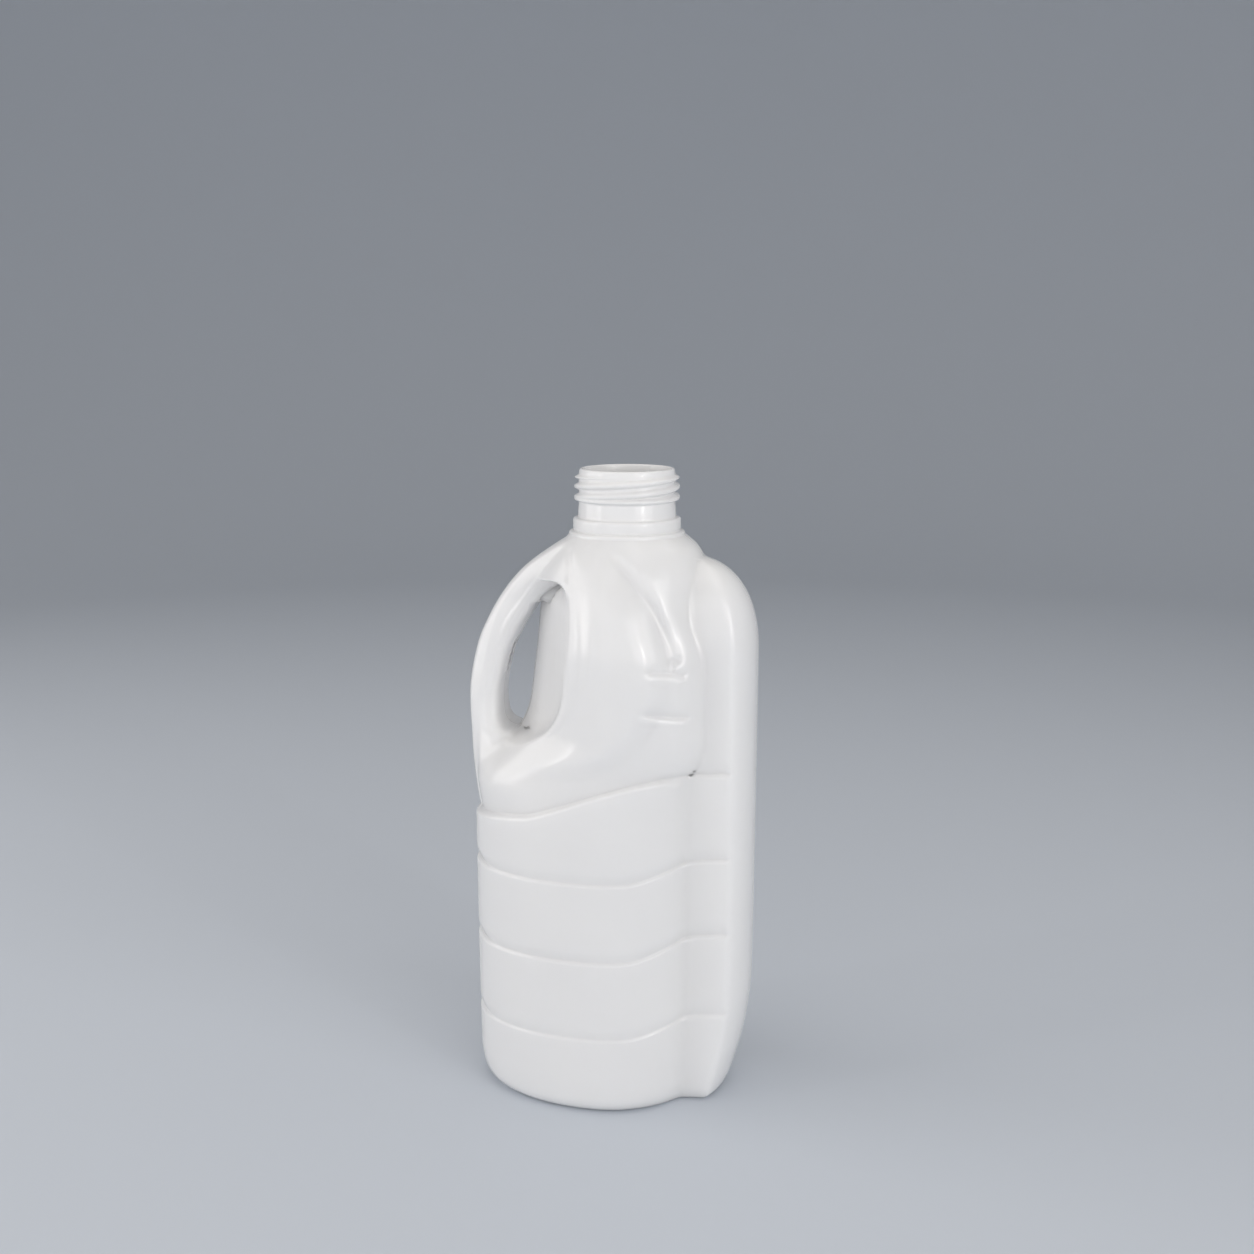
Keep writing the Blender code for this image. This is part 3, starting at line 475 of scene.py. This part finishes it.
neck = {
    'x': 7.5,
    'footZ': 256.0,
    'boreRadius': 19.5,
    'boreBottom': 262.0,
    'threadCrest': 2.05,
    'threadSpacing': 4.6,
    'threadAtLeft': 276.7,
    'threadFrom': 270.2,
    'threadTo': 282.6,
    'threadFade': 1.8,
    'threadHalfWidth': 1.65,
    'beadHalfWidth': 1.35,
    'outsideTop': 282.9,
    'beadZ': 271.9,
    'profile': [(256.35, 25.75), (256.7, 25.75), (257.1, 25.55), (257.4, 25.2), (257.6, 24.7),
                (257.75, 24.1), (257.95, 23.6), (258.3, 23.62), (258.65, 23.85), (259.1, 23.92),
                (260.4, 23.92), (261.7, 23.92), (262.4, 23.9), (262.85, 23.75), (263.15, 23.45),
                (263.35, 23.0), (263.45, 22.4), (263.55, 21.9), (263.85, 21.72), (264.6, 21.7),
                (266.5, 21.65), (268.6, 21.5), (269.6, 21.35)],
}


def threadHeight(angle, z):
    turn = neck['threadAtLeft'] + 2 * neck['threadSpacing'] * (angle - np.pi) / (2 * np.pi)
    offset = (z - turn) / neck['threadSpacing']
    offset = (offset - np.round(offset)) * neck['threadSpacing']
    ridge = np.clip(1.12 - 1.12 * np.abs(offset / neck['threadHalfWidth']) ** 1.7, 0, 1)
    ridge = ridge * ramp(z, neck['threadFrom'], neck['threadFrom'] + neck['threadFade'])
    ridge = ridge * (1 - ramp(z, neck['threadTo'] - neck['threadFade'], neck['threadTo']))
    bead = np.clip(1.1 - 1.1 * np.abs((z - neck['beadZ']) / neck['beadHalfWidth']) ** 1.7, 0, 1)
    return neck['threadCrest'] * np.maximum(ridge, bead)


def neckRows(count):
    profile = list(neck['profile'])
    profile += [(z, 21.3) for z in np.linspace(270.0, 282.8, 50)]
    profile += [(283.4, 21.2), (284.0, 21.05), (284.4, 20.98), (284.7, 20.8), (284.9, 20.5), (285.0, 20.2),
                (284.95, 19.9), (284.75, 19.65), (284.3, 19.52), (282.0, 19.5), (278.0, 19.5), (274.0, 19.5),
                (270.0, 19.5), (266.0, 19.5), (262.0, 19.5)]
    angles = np.pi + 2 * np.pi * np.arange(count) / count
    outside = True
    found = []
    for z, radius in profile:
        outside = outside and z < neck['outsideTop']
        reach = radius + (threadHeight(angles, z) if outside else 0)
        found.append((neck['x'] + reach * np.cos(angles), reach * np.sin(angles), np.full(count, z)))
    return found


# Meshes

centre = 0.36  # the jug's box is centred on the frame's axis


def makeMesh(name, points, faces):
    mesh = bpy.data.meshes.new(name)
    points = (np.array(points) - np.array([centre, 0, 0])) * metre
    used = sorted(set(v for face in faces for v in face))
    order = {v: i for i, v in enumerate(used)}
    mesh.from_pydata([tuple(points[v]) for v in used], [], [[order[v] for v in face] for face in faces])
    mesh.shade_smooth()
    piece = bpy.data.objects.new(name, mesh)
    bpy.context.scene.collection.objects.link(piece)
    return piece


def isOpen(level, i, half, counts):  # whether a face belongs to the open finger hole
    if not fingerHole['bottom'] <= level < fingerHole['top']:
        return False
    start = counts[0]
    return start <= i < start + counts[1] or start <= 2 * half - 1 - i < start + counts[1]


# The pushed-up base: each ring's share of the lowest row, and its height
baseRows = [(0.3, 3.3), (0.66, 3.15), (0.74, 2.9), (0.8, 2.4), (0.84, 1.1), (0.865, 0.2), (0.89, 0.0)]


def skin(levels, counts, withNeck):
    x, y, z = bodyRows(levels, counts)
    count = x.shape[1]
    half = count // 2
    loops = []
    points = []

    def addLoop(loopX, loopY, loopZ):
        loops.append(list(range(len(points), len(points) + count)))
        points.extend(zip(loopX, loopY, loopZ))

    for scale, height in baseRows:
        addLoop(x[0] * scale, y[0] * scale, z[0] + height)
    for i in range(len(levels)):
        addLoop(x[i], y[i], z[i])
    if withNeck:
        for row in neckRows(count):
            addLoop(*row)
    pairs = {}
    for row, level in enumerate(levels):
        if fingerHole['bottom'] <= level <= fingerHole['top']:
            loop = loops[row + len(baseRows)]
            for i in range(counts[0], counts[0] + counts[1] + 1):
                pairs[loop[count - i]] = loop[i]
    faces = []
    floor = loops[0]
    for i in range(half):
        quad = [floor[i], floor[(count - i) % count], floor[count - i - 1], floor[i + 1]]
        faces.append(list(dict.fromkeys(quad)))
    for row in range(len(loops) - 1):
        lower = loops[row]
        upper = loops[row + 1]
        bodyRow = row - len(baseRows)
        level = levels[bodyRow] if 0 <= bodyRow < len(levels) else -1
        for i in range(count):
            if isOpen(level, i, half, counts):
                continue
            j = (i + 1) % count
            faces.append([pairs.get(v, v) for v in (lower[i], lower[j], upper[j], upper[i])])
    return np.array(points), faces, loops


def normalsOf(points, faces):
    normals = np.zeros_like(points)
    for face in faces:
        across = np.cross(points[face[2]] - points[face[0]], points[face[-1]] - points[face[1]])
        for v in face:
            normals[v] += across
    return normals / np.maximum(np.linalg.norm(normals, axis=1), 1e-9)[:, None]


wall = 1.15
fineLevels = levelList(1.0)
points, faces, loops = skin(fineLevels, rows['fineCounts'], True)
shell = makeMesh('jugShell', points, faces)
print('shell', len(fineLevels), 'rows', len(faces), 'faces')

coarseLevels = levelList(3.2)
points, faces, loops = skin(coarseLevels, rows['coarseCounts'], False)
points = points - normalsOf(points, faces) * wall
boreAngles = np.pi + 2 * np.pi * np.arange(len(loops[0])) / len(loops[0])
ring = [len(points) + i for i in range(len(loops[0]))]
boreRing = np.stack([neck['x'] + neck['boreRadius'] * np.cos(boreAngles),
                     neck['boreRadius'] * np.sin(boreAngles), np.full(len(ring), neck['boreBottom'])], axis=1)
points = np.concatenate([points, boreRing])
top = loops[-1]
for i in range(len(ring)):
    j = (i + 1) % len(ring)
    faces.append([top[i], top[j], ring[j], ring[i]])
lining = makeMesh('jugLining', points, [face[::-1] for face in faces])
print('lining', len(faces), 'faces')


# Material

class Wire:  # one output of a node, so that maths on it reads as maths
    def __init__(self, recipe, socket):
        self.recipe = recipe
        self.socket = socket

    def maths(self, operation, first, second):
        return self.recipe.add('ShaderNodeMath', {'operation': operation}, {0: first, 1: second})

    def __add__(self, other):
        return self.maths('ADD', self, other)

    def __radd__(self, other):
        return self.maths('ADD', other, self)

    def __sub__(self, other):
        return self.maths('SUBTRACT', self, other)

    def __rsub__(self, other):
        return self.maths('SUBTRACT', other, self)

    def __mul__(self, other):
        return self.maths('MULTIPLY', self, other)

    def __rmul__(self, other):
        return self.maths('MULTIPLY', other, self)

    def __truediv__(self, other):
        return self.maths('DIVIDE', self, other)

    def __rtruediv__(self, other):
        return self.maths('DIVIDE', other, self)

    def __pow__(self, other):
        return self.maths('POWER', self, other)


class Recipe:  # a material and the one way to add a node to it
    def __init__(self, name):
        self.material = bpy.data.materials.new(name)
        self.material.use_nodes = True
        self.nodes = self.material.node_tree.nodes
        self.links = self.material.node_tree.links
        self.shader = self.nodes['Principled BSDF']

    def add(self, kind, settings, sockets, output=0):
        node = self.nodes.new(kind)
        for key, value in settings.items():
            if key == 'stops':
                for i, (place, colour) in enumerate(value):
                    elements = node.color_ramp.elements
                    stop = elements[i] if i < len(elements) else elements.new(place)
                    stop.position = place
                    stop.color = colour
            else:
                setattr(node, key, value)
        self.feed(node, sockets)
        return Wire(self, node.outputs[output])

    def feed(self, node, sockets):
        for key, value in sockets.items():
            if isinstance(value, Wire):
                self.links.new(value.socket, node.inputs[key])
            else:
                node.inputs[key].default_value = value


plastic = {
    'colour': (0.84, 0.835, 0.83, 1),
    'cloud': (0.80, 0.795, 0.80, 1),
    'roughness': 0.19,
    'noises': ((30.0, 2.0, 0.4), (260.0, 3.0, 0.5), (1500.0, 2.0, 0.6)),  # clouds, mottle and grain
    'mottleHeight': 0.00004,
    'grainHeight': 0.000004,
    'scatter': 0.85,
    'scatterRadius': (0.014, 0.014, 0.0143),
}
neckPlastic = dict(plastic, colour=(0.88, 0.875, 0.87, 1), scatter=0.2,
                   scatterRadius=(0.002, 0.002, 0.002))


def makePlastic(name, look):
    recipe = Recipe(name)
    place = recipe.add('ShaderNodeTexCoord', {}, {}, 'Object')
    noises = []
    for scale, detail, roughness in look['noises']:
        noises.append(recipe.add('ShaderNodeTexNoise', {}, {'Vector': place, 'Scale': scale, 'Detail': detail,
                                                            'Roughness': roughness}))
    clouds, mottle, grain = noises
    axes = recipe.nodes.new('ShaderNodeSeparateXYZ')
    recipe.links.new(place.socket, axes.inputs[0])
    across = Wire(recipe, axes.outputs['Y'])
    wobble = (mottle - 0.5) * 0.0003
    parting = recipe.add('ShaderNodeMath', {'operation': 'ABSOLUTE'}, {0: across + wobble})
    seam = recipe.add('ShaderNodeMapRange', {'interpolation_type': 'SMOOTHSTEP'},
                      {'Value': parting, 'From Min': 0.00015, 'From Max': 0.0006, 'To Min': 1.0,
                       'To Max': 0.0})
    share = recipe.add('ShaderNodeMapRange', {}, {'Value': clouds, 'From Min': 0.2, 'From Max': 0.8})
    blend = {'Factor': share * 0.55 + grain * 0.05, 6: look['colour'], 7: look['cloud']}
    colour = recipe.add('ShaderNodeMix', {'data_type': 'RGBA'}, blend, 2)
    roughness = look['roughness'] + (mottle - 0.5) * 0.08 + (clouds - 0.5) * 0.12
    height = mottle * look['mottleHeight'] + grain * look['grainHeight'] + seam * 0.00022
    bump = recipe.add('ShaderNodeBump', {}, {'Strength': 1.0, 'Distance': 1.0, 'Height': height})
    recipe.feed(recipe.shader, {
        'Base Color': colour,
        'Roughness': roughness,
        'Normal': bump,
        'Subsurface Weight': look['scatter'],
        'Subsurface Radius': look['scatterRadius'],
        'Subsurface Scale': 1.0,
        'IOR': 1.5,
    })
    return recipe.material


shellPlastic = makePlastic('milkyPlastic', plastic)
thickPlastic = makePlastic('milkyNeckPlastic', neckPlastic)
for piece in (shell, lining):
    piece.data.materials.append(shellPlastic)
    piece.data.materials.append(thickPlastic)
    for face in piece.data.polygons:
        face.material_index = int(face.center.z > neck['footZ'] * metre)
    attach(piece, 'root')
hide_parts('jug')
print('materials done')


# Floor, lights and camera

studio = {
    'floorColour': (0.62, 0.66, 0.72, 1),
    'floorRadius': 2.6,
    'wallHeight': 2.2,
    'bend': 1.1,
    'sky': (1.0, 0.975, 0.94, 1),
    'skyStrength': 0.2,
}


def makeStage(look):  # a flat floor that curves up into a wall all round
    profile = [(0.0, 0.0), (0.4, 0.0), (1.0, 0.0), (look['floorRadius'] - look['bend'], 0.0)]
    for step in range(1, 13):
        angle = 0.5 * np.pi * step / 12
        profile.append((look['floorRadius'] - look['bend'] * (1 - np.sin(angle)),
                        look['bend'] * (1 - np.cos(angle))))
    profile.append((look['floorRadius'], look['wallHeight']))
    count = 72
    stagePoints = [(0.0, 0.0, -0.0002)]
    for radius, height in profile[1:]:
        for i in range(count):
            angle = 2 * np.pi * i / count
            stagePoints.append((radius * np.cos(angle), radius * np.sin(angle), height - 0.0002))
    stageFaces = [[0, 1 + i, 1 + (i + 1) % count] for i in range(count)]
    for row in range(len(profile) - 2):
        first = 1 + row * count
        for i in range(count):
            j = (i + 1) % count
            stageFaces.append([first + i, first + count + i, first + count + j, first + j])
    mesh = bpy.data.meshes.new('floor')
    mesh.from_pydata(stagePoints, [], stageFaces)
    mesh.shade_smooth()
    floor = bpy.data.objects.new('floor', mesh)
    bpy.context.scene.collection.objects.link(floor)
    recipe = Recipe('palePaper')
    recipe.feed(recipe.shader, {'Base Color': look['floorColour'], 'Roughness': 0.75,
                                'Specular IOR Level': 0.2})
    floor.data.materials.append(recipe.material)


def addArea(name, place, target, size, power, colour):
    light = bpy.data.lights.new(name, 'AREA')
    light.shape = 'RECTANGLE'
    light.size = size[0]
    light.size_y = size[1]
    light.energy = power
    light.color = colour
    lamp = bpy.data.objects.new(name, light)
    bpy.context.scene.collection.objects.link(lamp)
    lamp.location = place
    lamp.rotation_euler = (Vector(target) - Vector(place)).to_track_quat('-Z', 'Y').to_euler()


makeStage(studio)
world = bpy.data.worlds.new('studioAir')
world.use_nodes = True
world.node_tree.nodes['Background'].inputs['Color'].default_value = studio['sky']
world.node_tree.nodes['Background'].inputs['Strength'].default_value = studio['skyStrength']
bpy.context.scene.world = world
jugMiddle = (0.0, 0.0, 0.14)
lamps = (  # name, place, size, power and colour
    ('frontSoftbox', (-0.3, -1.6, 0.7), (2.4, 1.25), 7.6, (1.0, 0.975, 0.95)),
    ('topSoftbox', (0.1, 0.15, 1.4), (1.6, 1.6), 6.8, (1.0, 0.975, 0.95)),
    ('rightSoftbox', (1.1, -0.9, 0.6), (1.2, 1.0), 8.2, (1.0, 0.98, 0.96)),
    ('leftSoftbox', (-1.25, -0.35, 0.55), (1.2, 1.0), 7.0, (1.0, 0.97, 0.94)),
    ('leftStrip', (-1.25, -0.9, 0.5), (0.06, 0.5), 0.8, (1.0, 0.98, 0.95)),
    ('rightStrip', (1.2, -1.0, 0.5), (0.06, 0.5), 1.8, (1.0, 0.98, 0.95)),
)
for name, place, size, power, colour in lamps:
    addArea(name, place, jugMiddle, size, power, colour)
bpy.context.scene.view_settings.view_transform = 'Standard'

camera = bpy.data.objects.new('camera', bpy.data.cameras.new('camera'))
bpy.context.scene.collection.objects.link(camera)
camera.data.lens = 45.93
camera.data.sensor_width = 36
camera.location = (0.16604, -0.6885, 0.3468)
camera.rotation_euler = (np.radians(79.32), 0, np.radians(13))
bpy.context.scene.camera = camera
print('studio done')
